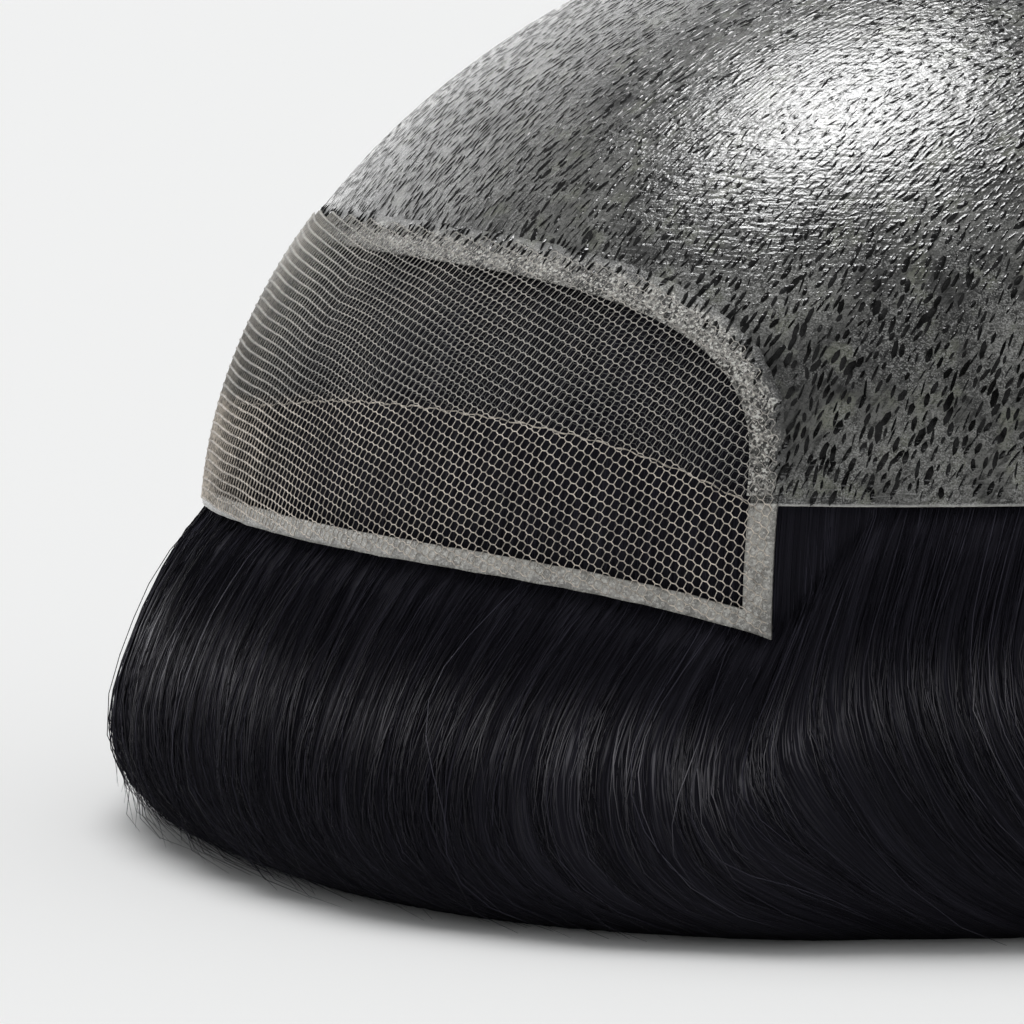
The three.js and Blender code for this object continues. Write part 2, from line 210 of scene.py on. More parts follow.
class Dome:
    """The dome and the hair's roll, by angle from the front towards +X, in metres."""

    def __init__(self, scene):
        self.base = scene.toupee_base
        self.net = scene.toupee_net
        self.hair = scene.toupee_hair
        self.window_half = self.net.half_angle - self.net.tab_width / self.plan_radius(self.net.half_angle)
        self.outside = smooth_line(ROLL_OUTSIDE, 200, 2)
        self.inside = smooth_line(ROLL_INSIDE, 80, 0)

    def plan_radius(self, angle):
        squareness = np.where(np.cos(angle) > 0, self.base.front_squareness, self.base.back_squareness)
        across = np.abs(np.sin(angle)) / self.base.half_width
        along = np.abs(np.cos(angle)) / self.base.half_length
        return (across ** squareness + along ** squareness) ** (-1 / squareness)

    def tilt_at(self, level):
        return np.arcsin(np.clip((level - WIDEST_LEVEL) / self.base.rise, -1, 1))

    def point(self, angle, tilt, lift=0.0):
        radius = (self.plan_radius(angle) + lift) * np.cos(tilt)
        level = WIDEST_LEVEL + (self.base.rise + lift) * np.sin(tilt)
        level = level + 0 * radius
        return np.stack([radius * np.sin(angle), BASE_SHIFT - radius * np.cos(angle), level], -1)

    def at_level(self, angle, level, lift=0.0):
        return self.point(angle, self.tilt_at(level), lift)

    def normal(self, angle, tilt):
        step = 1e-4
        round_it = self.point(angle + step, tilt) - self.point(angle - step, tilt)
        up_it = self.point(angle, tilt + step) - self.point(angle, tilt - step)
        return unit(np.cross(round_it, up_it))

    def lace_edge(self, angle):
        share = np.minimum(np.abs(angle) / self.net.half_angle, 1)
        return self.net.edge_level - self.net.corner_drop * share ** 3.5

    def underlay_edge(self, angle):
        share = np.minimum(np.abs(angle) / self.window_half, 1)
        sunk = 0.5 - 0.5 * np.tanh((angle / DEGREE + 1) / 9)
        return 49.7 * MM - 7.7 * MM * share ** 4 - 3.9 * MM * sunk * (1 - share ** 4)

    def arch_level(self, angle, grown=0.0):
        half = self.window_half + grown / self.plan_radius(angle)
        inside = np.clip(1 - (np.abs(angle) / half) ** 3, 0, 1)
        return self.base.skin_edge + (self.net.arch_rise + grown) * inside ** (1 / 3)

    def rim_level(self, angle):
        angle = np.abs(wrapped(angle))
        beyond = np.clip((angle - self.net.half_angle + 1 * DEGREE) / (8 * DEGREE), 0, 1)
        edge = self.lace_edge(np.minimum(angle, self.net.half_angle))
        return edge + (self.base.skin_edge - edge) * beyond * beyond * (3 - 2 * beyond)

    def roll_point(self, angle, out, up, proud=0.0):
        rim = self.rim_level(angle)
        above = np.clip(up - 1, 0, 1)
        level_above = rim + (50 * MM - rim) * above
        upper = self.at_level(angle, level_above, HAIR_LIFT + out * self.hair.lining + proud)
        radius = (self.plan_radius(angle) + HAIR_LIFT) * np.cos(self.tilt_at(rim))
        radius = radius + out * np.where(out > 0, self.hair.bulge, self.hair.lining)
        radius = radius + self.lock_relief(angle, out, up) + proud
        lower = np.stack([radius * np.sin(angle), BASE_SHIFT - radius * np.cos(angle), up * rim], -1)
        return np.where((up >= 1)[..., None], upper, lower)

    def lock_relief(self, angle, out, up):
        lean = np.interp(up, [row[0] for row in LOCK_LEAN], [row[1] for row in LOCK_LEAN])
        swept = angle - np.sin(angle) * 14 * DEGREE * lean
        ridge = np.abs(np.cos(swept * 18 + 0.35 * np.pi * np.sin(swept * 7)))
        return self.hair.lock_relief * np.clip(2 * out, 0, 1) * (np.sqrt(ridge + 0.02) - 1)

    def combed(self, angle, up):
        """Angle at a height of the roll of the strand that leaves the rim at the given angle."""
        degrees = wrapped(angle) / DEGREE
        at_heights = [smooth_value(COMB_ANGLES, row, degrees) for row in COMB_OFFSETS]
        moved = smooth_value(COMB_HEIGHTS, at_heights, np.clip(up, 0, 1))
        return angle + moved * MM / (self.plan_radius(angle) + 6 * MM)


def unit(vectors):
    return vectors / np.maximum(np.linalg.norm(vectors, axis=-1, keepdims=True), 1e-12)


def wrapped(angle):
    return (angle + np.pi) % (2 * np.pi) - np.pi


def smooth_line(points, count, sharp_start):
    """Even points on a curve through the given ones, straight as far as the sharp_start-th."""
    points = np.array(points, float)
    real = points * np.array([11.8, 38.0])
    steps = np.concatenate([[0], np.cumsum(np.linalg.norm(np.diff(real, axis=0), axis=1))])
    at = np.linspace(0, steps[-1], count)
    line = np.stack([smooth_value(steps, points[:, k], at) for k in (0, 1)], -1)
    straight = np.stack([np.interp(at, steps, points[:, k]) for k in (0, 1)], -1)
    return np.where((at <= steps[sharp_start])[:, None], straight, line)


def smooth_value(places, values, at):
    """A smooth curve through values at places; values may be numbers or arrays as long as at."""
    places = np.array(places, float)
    values = [np.zeros_like(at) + value for value in values]
    slopes = []
    for k in range(len(places)):
        low, high = max(k - 1, 0), min(k + 1, len(places) - 1)
        slopes.append((values[high] - values[low]) / (places[high] - places[low]))
    values, slopes = np.array(values), np.array(slopes)
    cell = np.clip(np.searchsorted(places, at, side="right") - 1, 0, len(places) - 2)
    span = places[cell + 1] - places[cell]
    share = np.clip((at - places[cell]) / span, 0, 1)
    pick = np.arange(len(at))
    low, high = values[cell, pick], values[cell + 1, pick]
    low_slope, high_slope = slopes[cell, pick] * span, slopes[cell + 1, pick] * span
    square, cube = share ** 2, share ** 3
    return ((2 * cube - 3 * square + 1) * low + (cube - 2 * square + share) * low_slope
            + (3 * square - 2 * cube) * high + (cube - square) * high_slope)


def fractal(points, scale, octaves=3):
    """Soft noise, about -1 to 1, at points in metres; scale is in cycles a metre."""
    return np.array([noise.fractal(Vector(p) * scale, 1.0, 2.0, octaves) for p in points])


def grid_faces(rows, columns, closed_round=False):
    """Faces of a grid whose points run along each row first."""
    row, column = np.meshgrid(np.arange(rows - 1), np.arange(columns if closed_round else columns - 1),
                              indexing="ij")
    beside = (column + 1) % columns
    first = row * columns
    return np.stack([first + column, first + beside, first + columns + beside, first + columns + column],
                    -1).reshape(-1, 4)


def plain_mesh(name, points, faces=(), edges=(), attributes=None):
    """A mesh from arrays, with its attributes by name at each point."""
    mesh = bpy.data.meshes.new(name)
    mesh.from_pydata([tuple(p) for p in points.tolist()], [tuple(e) for e in np.asarray(edges).tolist()],
                     [tuple(f) for f in (faces.tolist() if isinstance(faces, np.ndarray) else faces)])
    for key, values in (attributes or {}).items():
        values = np.asarray(values, np.float32)
        kind = "FLOAT_VECTOR" if values.ndim == 2 else "FLOAT"
        made = mesh.attributes.new(key, kind, "POINT")
        made.data.foreach_set("vector" if values.ndim == 2 else "value", values.ravel())
    mesh.update()
    return mesh


def walled(outer, inner, faces):
    """Joins an outer and an inner sheet of the same faces round their open edges."""
    count = len(outer)
    faces = [tuple(face) for face in (faces.tolist() if isinstance(faces, np.ndarray) else faces)]
    seen = {}
    for face in faces:
        for start, end in zip(face, face[1:] + face[:1]):
            seen[(start, end)] = True
    rims = [(end, start, start + count, end + count) for start, end in seen if (end, start) not in seen]
    backs = [tuple(k + count for k in reversed(face)) for face in faces]
    return np.concatenate([outer, inner]), faces + backs + rims


def finished(name, mesh, materials, replaced=(), smooth=True):
    """Puts a mesh in the scene as a piece on the root body."""
    made = bpy.data.objects.new(name, mesh)
    bpy.context.scene.collection.objects.link(made)
    mesh.materials.clear()
    for material in materials:
        mesh.materials.append(material)
    mesh.polygons.foreach_set("use_smooth", [smooth] * len(mesh.polygons))
    mesh.update()
    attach(made, "root")
    if replaced:
        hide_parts(*replaced)
    return made


def link_in(tree, value, socket):
    if isinstance(value, bpy.types.NodeSocket):
        tree.links.new(value, socket)
    else:
        socket.default_value = value


def add(tree, kind, settings=None, **inputs):
    """A node with its settings and its inputs by name: a number, a colour or another node's output."""
    made = tree.nodes.new(kind)
    for key, value in (settings or {}).items():
        setattr(made, key, value)
    for key, value in inputs.items():
        link_in(tree, value, made.inputs[key.replace("_", " ")])
    return made


def sum_of(tree, operation, first, second=0.0, third=0.0, clamp=False):
    made = tree.nodes.new("ShaderNodeMath")
    made.operation = operation
    made.use_clamp = clamp
    for socket, value in zip(made.inputs, (first, second, third)):
        link_in(tree, value, socket)
    return made.outputs[0]


def mixed(tree, share, first, second):
    made = tree.nodes.new("ShaderNodeMix")
    made.data_type = "RGBA"
    link_in(tree, share, made.inputs[0])
    link_in(tree, first, made.inputs[6])
    link_in(tree, second, made.inputs[7])
    return made.outputs[2]


def ramp(tree, value, low, high):
    """0 below low, 1 above high and smooth between."""
    made = add(tree, "ShaderNodeMapRange", {"interpolation_type": "SMOOTHSTEP"}, Value=value)
    made.inputs["From Min"].default_value = low
    made.inputs["From Max"].default_value = high
    return made.outputs[0]


def place(tree, name, scale):
    """Coordinates of the piece, by attribute name or the object's own, in the given cycles a metre."""
    if name == "object":
        source = tree.nodes.new("ShaderNodeTexCoord").outputs["Object"]
    else:
        source = add(tree, "ShaderNodeAttribute", {"attribute_name": name}).outputs["Vector"]
    return add(tree, "ShaderNodeMapping", Vector=source, Scale=scale).outputs[0]


def share_of(tree, name):
    return add(tree, "ShaderNodeAttribute", {"attribute_name": name}).outputs["Fac"]


def surface(name):
    """A new material, its tree and its surface shader."""
    material = bpy.data.materials.new(name)
    material.use_nodes = True
    tree = material.node_tree
    return material, tree, tree.nodes["Principled BSDF"]


def laid_flat(points, direction, ways):
    """Places on a grid of points whose steps come closest to a field of directions, in metres.

    ways are pairs of point numbers with the weight of each pair."""
    start, end, weight = ways
    step = points[end] - points[start]
    wanted = np.sum((direction[start] + direction[end]) / 2 * step, -1)
    count = len(points)

    def spread(values):
        values = values * weight
        return np.bincount(end, values, count) - np.bincount(start, values, count)

    scale = np.bincount(end, weight, count) + np.bincount(start, weight, count)
    found = np.zeros(count)
    left = spread(wanted)
    eased = left / scale
    way = eased
    size = left @ eased
    for _ in range(900):
        pushed = spread(way[end] - way[start])
        share = size / (way @ pushed)
        found = found + share * way
        left = left - share * pushed
        eased = left / scale
        grown_size = left @ eased
        if grown_size < 1e-16:
            break
        way = eased + grown_size / size * way
        size = grown_size
    return found


def combing(points, normals):
    """Direction of the roots on the skin, in its tangent plane."""
    climb = np.interp(points[:, 2], [0.045, 0.060, 0.090], [1.30, 0.90, 0.15])
    flow = np.stack([np.zeros_like(climb), 0.55 + 0 * climb, climb], -1)
    flow = flow - normals * np.sum(flow * normals, -1, keepdims=True)
    return unit(flow)


def thread_tree():
    """Geometry Nodes: every chain of edges becomes a closed thread of its own thickness."""
    tree = bpy.data.node_groups.new("threads from lines", "GeometryNodeTree")
    tree.interface.new_socket("Lines", in_out="INPUT", socket_type="NodeSocketGeometry")
    tree.interface.new_socket("Sides", in_out="INPUT", socket_type="NodeSocketInt")
    tree.interface.new_socket("Thickness", in_out="INPUT", socket_type="NodeSocketFloat")
    tree.interface.new_socket("Finish", in_out="INPUT", socket_type="NodeSocketMaterial")
    tree.interface.new_socket("Threads", in_out="OUTPUT", socket_type="NodeSocketGeometry")
    given = tree.nodes.new("NodeGroupInput").outputs
    wide = add(tree, "GeometryNodeInputNamedAttribute", {"data_type": "FLOAT"}, Name="thickness")
    ring = add(tree, "GeometryNodeCurvePrimitiveCircle", Resolution=given["Sides"],
               Radius=given["Thickness"])
    chain = add(tree, "GeometryNodeMeshToCurve", Mesh=given["Lines"])
    tube = add(tree, "GeometryNodeCurveToMesh", Curve=chain.outputs[0], Profile_Curve=ring.outputs[0],
               Scale=wide.outputs[0], Fill_Caps=True)
    whole = add(tree, "GeometryNodeRealizeInstances", Geometry=tube.outputs[0])
    coloured = add(tree, "GeometryNodeSetMaterial", Geometry=whole.outputs[0], Material=given["Finish"])
    add(tree, "NodeGroupOutput", Threads=coloured.outputs[0])
    return tree


def root_tree():
    """Geometry Nodes: a flat six-sided cone at every point, stretched and turned by its attributes."""
    tree = bpy.data.node_groups.new("roots on points", "GeometryNodeTree")
    tree.interface.new_socket("Places", in_out="INPUT", socket_type="NodeSocketGeometry")
    tree.interface.new_socket("Sides", in_out="INPUT", socket_type="NodeSocketInt")
    tree.interface.new_socket("Finish", in_out="INPUT", socket_type="NodeSocketMaterial")
    tree.interface.new_socket("Roots", in_out="OUTPUT", socket_type="NodeSocketGeometry")
    given = tree.nodes.new("NodeGroupInput").outputs
    along = add(tree, "GeometryNodeInputNamedAttribute", {"data_type": "FLOAT_VECTOR"}, Name="along")
    outward = add(tree, "GeometryNodeInputNamedAttribute", {"data_type": "FLOAT_VECTOR"}, Name="outward")
    size = add(tree, "GeometryNodeInputNamedAttribute", {"data_type": "FLOAT_VECTOR"}, Name="size")
    turn = add(tree, "FunctionNodeAxesToRotation", {"primary_axis": "Z", "secondary_axis": "X"},
               Primary_Axis=outward.outputs[0], Secondary_Axis=along.outputs[0])
    cone = add(tree, "GeometryNodeMeshCone", Vertices=given["Sides"], Radius_Top=0.0, Radius_Bottom=0.5,
               Depth=1.0)
    dots = add(tree, "GeometryNodeMeshToPoints", Mesh=given["Places"])
    cones = add(tree, "GeometryNodeInstanceOnPoints", Points=dots.outputs[0], Instance=cone.outputs[0],
                Rotation=turn.outputs[0], Scale=size.outputs[0])
    whole = add(tree, "GeometryNodeRealizeInstances", Geometry=cones.outputs[0])
    coloured = add(tree, "GeometryNodeSetMaterial", Geometry=whole.outputs[0], Material=given["Finish"])
    add(tree, "NodeGroupOutput", Roots=coloured.outputs[0])
    return tree


def grown(name, seed_mesh, tree, values):
    """Runs a Geometry Nodes tree on a mesh and gives the plain mesh that comes out."""
    carrier = bpy.data.objects.new(name + "_lines", seed_mesh)
    bpy.context.scene.collection.objects.link(carrier)
    modifier = carrier.modifiers.new("grow", "NODES")
    modifier.node_group = tree
    for item in tree.interface.items_tree:
        if item.in_out == "INPUT" and item.name in values:
            modifier[item.identifier] = values[item.name]
    graph = bpy.context.evaluated_depsgraph_get()
    mesh = bpy.data.meshes.new_from_object(carrier.evaluated_get(graph))
    mesh.name = name
    carrier.modifiers.clear()
    bpy.data.objects.remove(carrier)
    return mesh


def soft_noise(tree, where, scale, detail, roughness=0.5):
    made = add(tree, "ShaderNodeTexNoise", Vector=where, Scale=scale, Detail=detail, Roughness=roughness)
    return made.outputs[0]


def gloss_relief(tree, depth, more=0.0):
    """The fine relief of the skin's gloss, the same on the skin and on the roots in it."""
    fine = soft_noise(tree, place(tree, "object", (1, 1, 1)), 2600, 2)
    broad = soft_noise(tree, place(tree, "object", (500, 500, 2600)), 1.0, 3)
    height = sum_of(tree, "MULTIPLY_ADD", fine, 0.30, sum_of(
        tree, "MULTIPLY_ADD", broad, 0.9, more))
    return add(tree, "ShaderNodeBump", Strength=1.0, Distance=depth, Height=height).outputs[0]


def skin_tone(tree, colours, marks):
    """Clear skin over dark hair: clouds, warmer patches, dark marks, dark grain and painted sparkle glints
    in patches.
    """
    here = place(tree, "object", (1, 1, 1))
    cloud = soft_noise(tree, here, 95, 4)
    patch = soft_noise(tree, here, 260, 4)
    grain = add(tree, "ShaderNodeTexVoronoi", Vector=here, Scale=8600)
    tone = mixed(tree, ramp(tree, cloud, 0.38, 0.62), tuple(colours.skin_dark),
                 tuple(colours.skin_pale))
    warm = tuple(part * share for part, share in zip(colours.skin_pale[:3], (1.25, 1.30, 1.08))) + (1,)
    tone = mixed(tree, sum_of(tree, "MULTIPLY", ramp(tree, patch, 0.52, 0.66), 0.7), tone, warm)
    tone = mixed(tree, marks, tone, BLACK_STREAK)
    # Painted sparkle: bright grain specks in patches stand in for glints off the skin's fine relief.
    here_lit = soft_noise(tree, here, 150, 5, 0.6)
    bright = sum_of(tree, "MULTIPLY", ramp(tree, grain.outputs["Color"], 0.50, 0.80),
                    ramp(tree, here_lit, 0.36, 0.58))
    tone = mixed(tree, sum_of(tree, "MULTIPLY", bright, 0.85), tone, SKIN_PAINTED_SPARKLE)
    dull = sum_of(tree, "SUBTRACT", 1.0, ramp(tree, grain.outputs["Color"], 0.15, 0.40))
    return mixed(tree, sum_of(tree, "MULTIPLY", dull, 0.55), tone, GRAIN_DARK)


def skin_material(colours):
    """Clear glossy skin, with painted glints in fine pale near-horizontal lines, a pale cut edge and a
    streaky gloss.
    """
    material, tree, shader = surface("clear skin")
    streak = soft_noise(tree, place(tree, "flow", (4600, 520, 0)), 1.0, 2)
    marks = sum_of(tree, "MULTIPLY", ramp(tree, streak, 0.50, 0.60), 0.6)
    tone = skin_tone(tree, colours, marks)
    # Painted glints: pale thin near-horizontal lines in patches, mixed into the skin's colour.
    glint_lines = soft_noise(tree, place(tree, "object", (420, 420, 9000)), 1.0, 1)
    glint_patches = soft_noise(tree, place(tree, "object", (1, 1, 1)), 260, 4)
    line = sum_of(tree, "MULTIPLY", ramp(tree, glint_lines, 0.62, 0.68),
                  ramp(tree, glint_patches, 0.50, 0.60))
    tone = mixed(tree, sum_of(tree, "MULTIPLY", line, 0.5), tone, PAINTED_GLINT_LINE)
    tone = mixed(tree, sum_of(tree, "MULTIPLY", share_of(tree, "edge"), 0.85), tone, CUT_EDGE)
    link_in(tree, tone, shader.inputs["Base Color"])
    shader.inputs["Roughness"].default_value = 0.5
    shader.inputs["Specular IOR Level"].default_value = 0.3
    shader.inputs["Coat Weight"].default_value = 1.0
    shader.inputs["Coat IOR"].default_value = 1.92
    shader.inputs["Coat Roughness"].default_value = 0.12
    relief = gloss_relief(tree, 0.00012, sum_of(tree, "MULTIPLY", streak, 0.8))
    link_in(tree, relief, shader.inputs["Normal"])
    link_in(tree, relief, shader.inputs["Coat Normal"])
    return material


def root_material():
    """Black hair roots that lie under the skin's gloss."""
    material, tree, shader = surface("hair roots")
    shade = soft_noise(tree, place(tree, "object", (1, 1, 1)), 700, 2)
    tone = mixed(tree, ramp(tree, shade, 0.35, 0.65), ROOT_BLACK, ROOT_GREY)
    link_in(tree, tone, shader.inputs["Base Color"])
    shader.inputs["Roughness"].default_value = 0.6
    shader.inputs["Specular IOR Level"].default_value = 0.1
    shader.inputs["Coat Weight"].default_value = 1.0
    shader.inputs["Coat IOR"].default_value = 1.92
    shader.inputs["Coat Roughness"].default_value = 0.12
    relief = gloss_relief(tree, 0.00010)
    link_in(tree, relief, shader.inputs["Coat Normal"])
    return material


def thread_material(colours, name, lit_share, darker):
    """Pale twisted thread, brighter in random patches of painted highlight, with painted shade: greyed over
    the second layer, and darkened as a whole for the second layer's own copy.
    """
    material, tree, shader = surface(name)
    grain = soft_noise(tree, place(tree, "object", (1, 1, 1)), 1900, 2)
    cloud = soft_noise(tree, place(tree, "object", (1, 1, 1)), 120, 2)
    # A share below 1 darkens the thread as painted shade, for the second net's copy.
    pale = tuple(part * lit_share for part in colours.thread[:3]) + (1,)
    dull = (pale[0] * 0.30, pale[1] * 0.30, pale[2] * 0.30, 1)
    share = sum_of(tree, "MULTIPLY_ADD", cloud, 0.5, grain)
    tone = mixed(tree, ramp(tree, share, 0.45 + darker, 0.95 + darker), dull, pale)
    # Painted shade: the thread is greyed where it lies over the second layer.
    shaded = mixed(tree, 0.5, tone, THREAD_IN_SHADE)
    tone = mixed(tree, share_of(tree, "shaded"), tone, shaded)
    link_in(tree, tone, shader.inputs["Base Color"])
    shader.inputs["Roughness"].default_value = 0.45
    shader.inputs["Sheen Weight"].default_value = 0.15
    return material


def coating_material(colours, name, patchy):
    """Milky coating with dark flecks and painted sparkle, pale grains and bright spots that stand in for
    glints; glued on the skin it fades out at its edge.
    """
    material, tree, shader = surface(name)
    here = place(tree, "object", (1, 1, 1))
    cloud = soft_noise(tree, here, 520, 4)
    grain = soft_noise(tree, here, 3000, 3, 0.7)
    fleck = add(tree, "ShaderNodeTexVoronoi", Vector=here, Scale=4600)
    base = tuple(part * (0.85 if patchy else 1.0) for part in colours.coating[:3]) + (1,)
    dark = tuple(part * (0.10 if patchy else 0.62) for part in base[:3]) + (1,)
    pale = tuple(min(part * (2.8 if patchy else 1.35), 0.9) for part in base[:3]) + (1,)
    tone = mixed(tree, ramp(tree, cloud, 0.38, 0.56), dark, base)
    # Painted sparkle: pale grains stand in for glints.
    tone = mixed(tree, ramp(tree, grain, 0.52, 0.64), tone, pale)
    tone = mixed(tree, sum_of(tree, "SUBTRACT", 1.0, ramp(tree, grain, 0.36, 0.45)), tone, dark)
    if patchy:
        dirt = sum_of(tree, "SUBTRACT", 0.9, ramp(tree, fleck.outputs["Color"], 0.20, 0.36))
        tone = mixed(tree, dirt, tone, dark)
    # Painted sparkle: bright spots stand in for glints.
    painted_sparkle = sum_of(tree, "MULTIPLY", ramp(tree, fleck.outputs["Color"], 0.70, 0.78), 1.0 if patchy else 0.4)
    tone = mixed(tree, painted_sparkle, tone, COATING_PAINTED_SPARKLE)
    if patchy:
        fade = sum_of(tree, "MULTIPLY_ADD", cloud, -0.9, sum_of(
            tree, "MULTIPLY_ADD", grain, -0.6, share_of(tree, "across")))
        tone = mixed(tree, ramp(tree, fade, -0.25, 0.15), tone, skin_tone(tree, colours, 0.0))
    link_in(tree, tone, shader.inputs["Base Color"])
    shader.inputs["Roughness"].default_value = 0.38
    shader.inputs["Coat Weight"].default_value = 0.8
    shader.inputs["Coat Roughness"].default_value = 0.15
    height = sum_of(tree, "MULTIPLY_ADD", fleck.outputs["Distance"], 0.4, grain)
    bump = add(tree, "ShaderNodeBump", Strength=1.0, Distance=0.00015, Height=height)
    link_in(tree, bump.outputs[0], shader.inputs["Normal"])
    link_in(tree, bump.outputs[0], shader.inputs["Coat Normal"])
    return material


def hair_material(colours, name, streaks):
    """Black straight hair: streaks along the strands, and painted glints in the band where it turns over.
    """
    material, tree, shader = surface(name)
    base = tuple(colours.hair)
    band = share_of(tree, "band")
    if streaks:
        lighter = tuple(min(part * 2.2, 1) for part in base[:3]) + (1,)
        wide = soft_noise(tree, place(tree, "strand", (900, 9, 0)), 1.0, 3)
        thin = soft_noise(tree, place(tree, "strand", (5200, 14, 0)), 1.0, 2)
        glint = soft_noise(tree, place(tree, "strand", (6200, 130, 0)), 1.0, 2)
        share = sum_of(tree, "MULTIPLY_ADD", wide, 0.7, thin)
        tone = mixed(tree, ramp(tree, share, 0.7, 1.2), base, lighter)
        # Painted sheen: fine glints in the band, mixed into the bed's colour.
        lit = sum_of(tree, "MULTIPLY", ramp(tree, glint, 0.47, 0.66), band)
        tone = mixed(tree, lit, tone, BED_PAINTED_GLINT)
        height = sum_of(tree, "MULTIPLY_ADD", wide, 1.4, thin)
        bump = add(tree, "ShaderNodeBump", Strength=1.0, Distance=0.0005, Height=height)
        link_in(tree, bump.outputs[0], shader.inputs["Normal"])
        shader.inputs["Specular IOR Level"].default_value = 0.02
        shader.inputs["Roughness"].default_value = 0.5
    else:
        lighter = tuple(min(part * 3.8, 1) for part in base[:3]) + (1,)
        tone = mixed(tree, share_of(tree, "shade"), base, lighter)
        own = share_of(tree, "shine")
        # Painted sheen: shiny strands are lighter in the band.
        tone = mixed(tree, sum_of(tree, "MULTIPLY", band, own), tone, STRAND_PAINTED_GLINT)
        shine = sum_of(tree, "MULTIPLY", own, sum_of(tree, "MULTIPLY_ADD", band, 0.55, 0.05))
        link_in(tree, sum_of(tree, "ADD", shine, 0.03), shader.inputs["Specular IOR Level"])
        shader.inputs["Roughness"].default_value = 0.22
    link_in(tree, tone, shader.inputs["Base Color"])
    return material


def sheen_band(points):
    """Share of the painted sheen at points of the roll, which also raises the strands' gloss: it is
    strongest where the hair turns over.
    """
    degrees = angle_of(points) / DEGREE
    middle = np.interp(np.abs(degrees), SHEEN_ANGLES, SHEEN_LEVELS) * MM
    wave = np.array([noise.noise((math.sin(turn) * 5.5, math.cos(turn) * 5.5, 2.7))
                     for turn in angle_of(points)])
    above = points[:, 2] - middle - 2.5 * MM * wave
    below = np.where(above > 0, above / (2.8 * MM), above / (11 * MM))
    sheen = 0.8 * np.exp(-(above / (2.8 * MM)) ** 2) + 0.2 * np.exp(-below ** 2)
    strong = np.interp(np.abs(degrees), SHEEN_STEPS, SHEEN_STRENGTHS)
    return sheen * strong * np.clip(0.85 + 0.8 * wave, 0.3, 1)


def skin_chart(dome, shell, angle, tilt):
    """Places across and along the combing for the skin's grid of points and its top point."""
    rows, columns = angle.shape
    top = rows * columns
    normals = np.concatenate([dome.normal(angle, tilt).reshape(-1, 3), [[0, 0, 1]]])
    way = combing(shell, normals)
    number = np.arange(top).reshape(rows, columns)
    beside = np.roll(number, -1, axis=1)
    level = np.stack([number.ravel(), beside.ravel()])
    climb = np.stack([number[:-1].ravel(), number[1:].ravel()])
    last = np.stack([number[-1], np.full(columns, top)])
    wide = np.linalg.norm(shell[level[1]] - shell[level[0]], axis=1).reshape(rows, columns)
    high = np.linalg.norm(shell[climb[1]] - shell[climb[0]], axis=1).reshape(rows - 1, columns)
    high_all = np.concatenate([high, high[-1:]])
    weights = [(high_all / wide).ravel(), (wide[:-1] / high).ravel(), wide[-1] / high[-1]]
    start = np.concatenate([level[0], climb[0], last[0]])
    end = np.concatenate([level[1], climb[1], last[1]])
    ways = (start, end, np.concatenate(weights))
    return laid_flat(shell, np.cross(normals, way), ways), laid_flat(shell, way, ways)


class TOUPEE_OT_skin(bpy.types.Operator):
    """Make the thin clear skin with the window cut out of its front"""
    bl_idname = "toupee.skin"
    bl_label = "Skin"

    def execute(self, context):
        dome = Dome(context.scene)
        turn = np.linspace(-90, 90, 73) * DEGREE
        within = dome.window_half * np.sign(turn) * np.abs(np.sin(turn)) ** (2 / 3)
        window_level = dome.base.skin_edge + dome.net.arch_rise * np.abs(np.cos(turn)) ** (2 / 3)
        beyond = np.linspace(dome.window_half, 2 * np.pi - dome.window_half, 172)[1:-1]
        angles = np.concatenate([within, beyond])
        low = np.concatenate([window_level, np.full(len(beyond), dome.base.skin_edge)])
        share = np.concatenate([[0, 0.0028, 0.0056], np.linspace(0, 1, 58)[1:-1]])
        rows = len(share) + 1
        start = dome.tilt_at(low)
        tilt = start[None, :] + (np.pi / 2 - start[None, :]) * share[:, None]
        angle = np.broadcast_to(angles, tilt.shape)
        outer = dome.point(angle, tilt, SKIN_LIFT).reshape(-1, 3)
        inner = dome.point(angle, tilt, SKIN_LIFT - dome.base.film_wall).reshape(-1, 3)
        apex = dome.point(np.zeros(1), np.full(1, np.pi / 2), SKIN_LIFT)
        apex_in = dome.point(np.zeros(1), np.full(1, np.pi / 2), SKIN_LIFT - dome.base.film_wall)
        columns = len(angles)
        faces = [tuple(face) for face in grid_faces(rows - 1, columns, True).tolist()]
        top = (rows - 2) * columns
        faces += [(top + k, top + (k + 1) % columns, len(outer)) for k in range(columns)]
        shell = np.concatenate([outer, apex])
        across, along = skin_chart(dome, shell, angle, tilt)
        points, faces = walled(shell, np.concatenate([inner, apex_in]), faces)
        edge = np.clip(1 - (tilt - start[None, :]) / (0.2 * MM / dome.base.rise), 0, 1).ravel()
        edge = np.concatenate([edge, [0], edge, [0]])
        chart = np.stack([across, along, 0 * across], -1)
        mesh = plain_mesh("skin_film", points, faces, (), {
            "flow": np.concatenate([chart, chart]), "edge": edge})
        clear = skin_material(context.scene.toupee_finish)
        skin = finished("skin_film", mesh, [clear], ["skin_base"])
        return {"FINISHED"}


